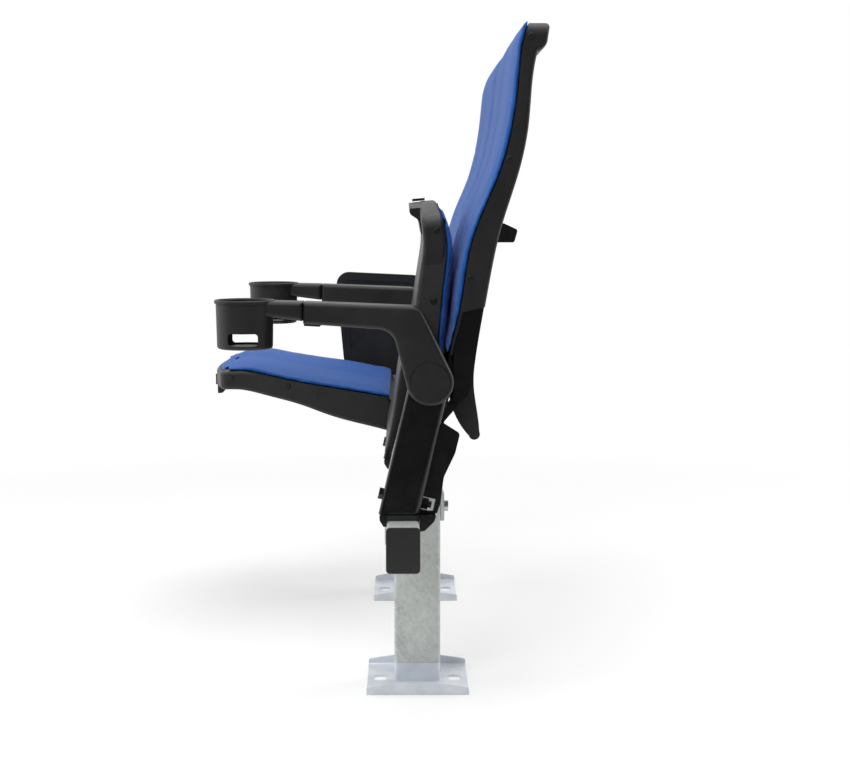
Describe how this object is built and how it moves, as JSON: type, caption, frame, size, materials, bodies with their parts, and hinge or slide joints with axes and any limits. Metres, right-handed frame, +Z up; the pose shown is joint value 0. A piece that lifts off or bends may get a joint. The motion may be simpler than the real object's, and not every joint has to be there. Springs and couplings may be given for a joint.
{
  "type": "stadium seat",
  "caption": "Beam-mounted pair of padded tip-up stadium seats with armrests, cup holders and an end panel, one seat tipped up and one lowered.",
  "frame": {"origin": "floor level, at the centre of the four floor anchor slots, midway between the two posts", "axes": "+X along the row to the sitters' left, +Y from the seat fronts to the backs, +Z up"},
  "size_m": [1.2142, 0.5808, 1.045],
  "materials": {
    "galvanised_steel": "mottled galvanised steel tube",
    "zinc_plate": "bright blue-white zinc plate",
    "zinc_fasteners": "zinc plated fasteners",
    "black_steel": "gloss black powder coat",
    "black_moulding": "fine-textured black moulding",
    "end_cap_plastic": "smooth black plug",
    "blue_upholstery": "fine blue woven upholstery",
    "dark_screws": "blackened screws",
    "nylon": "natural nylon"
  },
  "bodies": {
    "frame": {"arm_bolts": "zinc_fasteners", "arm_discs": "black_moulding", "arm_left": "black_moulding", "arm_middle": "black_moulding", "back_bracket_left_inner": "black_steel", "back_bracket_left_outer": "black_steel", "back_bracket_right_inner": "black_steel", "back_bracket_right_outer": "black_steel", "back_pad_left": "blue_upholstery", "back_pad_right": "blue_upholstery", "back_screws_left": "dark_screws", "back_screws_right": "dark_screws", "back_shell_left": "black_moulding", "back_shell_right": "black_moulding", "beam": "galvanised_steel", "beam_bolts": "zinc_fasteners", "beam_cap_left": "end_cap_plastic", "beam_cap_right": "end_cap_plastic", "beam_strap_left": "galvanised_steel", "beam_strap_right": "galvanised_steel", "bracket_bolts": "black_steel", "cross_bolts": "black_steel", "cup_holder_left": "black_moulding", "cup_holder_middle": "black_moulding", "end_panel": "black_moulding", "foot_left": "zinc_plate", "foot_right": "zinc_plate", "hub_left": "black_moulding", "hub_middle": "black_moulding", "hub_right": "black_moulding", "panel_bolts": "black_steel", "pivot_axles": "zinc_fasteners", "post_left": "galvanised_steel", "post_right": "galvanised_steel", "saddle_left": "black_steel", "saddle_middle": "black_steel", "saddle_right": "black_steel", "stop_pins": "zinc_fasteners", "strap_bolts": "zinc_fasteners", "upright_left": "black_steel", "upright_middle": "black_steel", "upright_right": "black_steel"},
    "seat_left": {"seat_shell_left": "black_moulding", "seat_pad_left": "blue_upholstery", "seat_screws_left": "dark_screws", "hinge_plates_left": "zinc_fasteners", "pivot_bushes_left": "nylon", "number_plate_left": "black_moulding"},
    "seat_right": {"seat_shell_right": "black_moulding", "seat_pad_right": "blue_upholstery", "seat_screws_right": "dark_screws", "hinge_plates_right": "zinc_fasteners", "pivot_bushes_right": "nylon", "number_plate_right": "black_moulding"}
  },
  "joints": [
    {"name": "tip_left", "type": "hinge", "parent": "frame", "child": "seat_left", "pos_m": [0.265, -0.003, 0.401], "axis": [1, 0, 0], "range_deg": [0, 85]},
    {"name": "tip_right", "type": "hinge", "parent": "frame", "child": "seat_right", "pos_m": [-0.265, -0.003, 0.401], "axis": [1, 0, 0], "range_deg": [-85, 0]}
  ]
}
